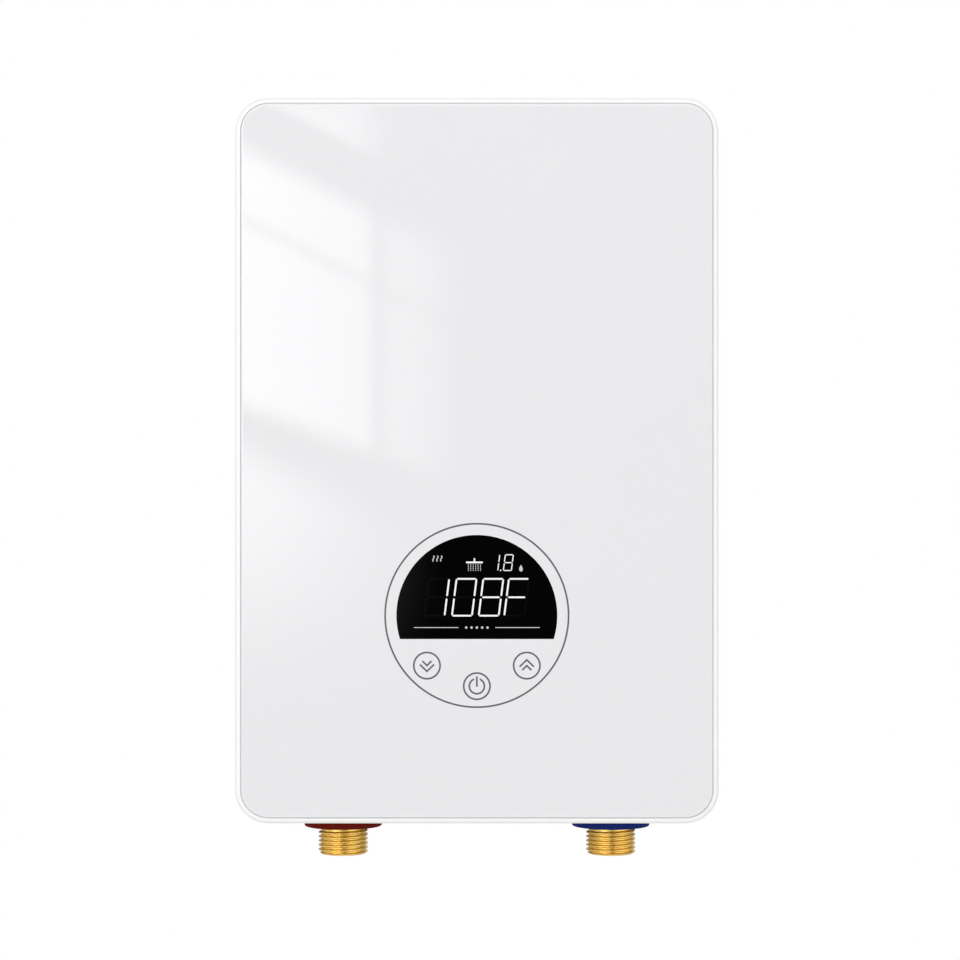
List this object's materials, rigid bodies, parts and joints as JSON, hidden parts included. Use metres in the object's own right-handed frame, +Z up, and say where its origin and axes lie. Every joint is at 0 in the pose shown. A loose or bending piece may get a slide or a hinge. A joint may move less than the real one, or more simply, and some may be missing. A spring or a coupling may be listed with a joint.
{
  "type": "tankless electric water heater",
  "caption": "Wall-hung instantaneous electric water heater: white case with a glass front, round touch control with a black display, and brass pipe threads below with red and blue collars.",
  "frame": {"origin": "middle of the flat back, on the wall plane", "axes": "+X to the right as the user faces the front, +Y into the wall, +Z up"},
  "size_m": [0.2, 0.07, 0.3171],
  "materials": {
    "white_case": "fine satin moulding",
    "front_glass": "polished flat glass",
    "white_print": "white printed film",
    "grey_tape": "foam tape",
    "display_black": "smooth black",
    "green_board": "solder resist",
    "brass": "turned",
    "red_collar": "dull moulding",
    "blue_collar": "dull moulding",
    "stainless": "drawn tube",
    "zinc_screws": "zinc plated",
    "tinned_copper": "tinned",
    "black_rubber": "moulded",
    "grey_silicone": "extruded",
    "fibre_washer": "pressed fibre",
    "ceramic": "thin glaze",
    "natural_nylon": "moulded",
    "blue_nylon": "moulded",
    "dark_nylon": "glass-filled moulding",
    "red_button": "smooth",
    "aluminium": "extruded",
    "relay_blue": "smooth",
    "winding_tape": "taped winding",
    "capacitor_sleeve": "shrunk sleeve",
    "film_capacitor": "dipped",
    "red_silicone_lead": "extruded",
    "earth_lead": "extruded",
    "grey_lead": "extruded",
    "ribbon": "flat cable"
  },
  "bodies": {
    "chassis": {"rear_housing": "white_case", "main_board": "green_board", "cold_inlet_fitting": "brass", "hot_outlet_fitting": "brass", "outlet_block": "brass", "outlet_temp_sensor": "brass", "hot_collar": "red_collar", "cold_collar": "blue_collar", "cold_chamber": "stainless", "hot_chamber": "stainless", "crossover_pipe": "stainless", "cold_element": "stainless", "hot_element": "stainless", "chamber_straps": "stainless", "rotor_axle": "stainless", "cover_screws": "zinc_screws", "wiring_screws": "zinc_screws", "strap_screws": "zinc_screws", "cutout_screws": "zinc_screws", "triac_screws": "zinc_screws", "main_board_screws": "zinc_screws", "element_nuts": "zinc_screws", "lead_lugs": "tinned_copper", "board_tabs": "tinned_copper", "cable_grommet": "black_rubber", "fitting_gaskets": "black_rubber", "spigot_o_rings": "black_rubber", "cover_seal": "grey_silicone", "element_washers": "fibre_washer", "element_insulators": "ceramic", "cable_clamp": "natural_nylon", "terminal_block": "natural_nylon", "inlet_strainer": "natural_nylon", "rotor_carriers": "natural_nylon", "display_socket": "natural_nylon", "sensor_sockets": "natural_nylon", "flow_sensor_body": "dark_nylon", "hall_pickup": "dark_nylon", "thermal_cutout": "dark_nylon", "triacs": "dark_nylon", "board_chips": "dark_nylon", "triac_heatsink": "aluminium", "power_relay": "relay_blue", "supply_transformer": "winding_tape", "filter_capacitors": "capacitor_sleeve", "line_capacitor": "film_capacitor", "power_leads": "red_silicone_lead", "earth_lead": "earth_lead", "sensor_leads": "grey_lead"},
    "front_cover": {"front_cover": "white_case", "front_glass": "front_glass", "graphic_film": "white_print", "glass_tape": "grey_tape", "display_module": "display_black", "display_board": "green_board", "display_board_screws": "zinc_screws", "touch_pads": "black_rubber", "display_ribbon": "ribbon"},
    "flow_rotor": {"flow_rotor": "blue_nylon"},
    "reset_button": {"reset_button": "red_button"}
  },
  "joints": [
    {"name": "cover_lift", "type": "slide", "parent": "chassis", "child": "front_cover", "axis": [0, -1, 0], "range_m": [0, 0.09]},
    {"name": "rotor_spin", "type": "hinge", "parent": "chassis", "child": "flow_rotor", "pos_m": [0.057, -0.033, -0.12], "axis": [0, 0, 1], "continuous": true},
    {"name": "reset_travel", "type": "slide", "parent": "chassis", "child": "reset_button", "axis": [0, -1, 0], "range_m": [0, 0.0015]}
  ]
}
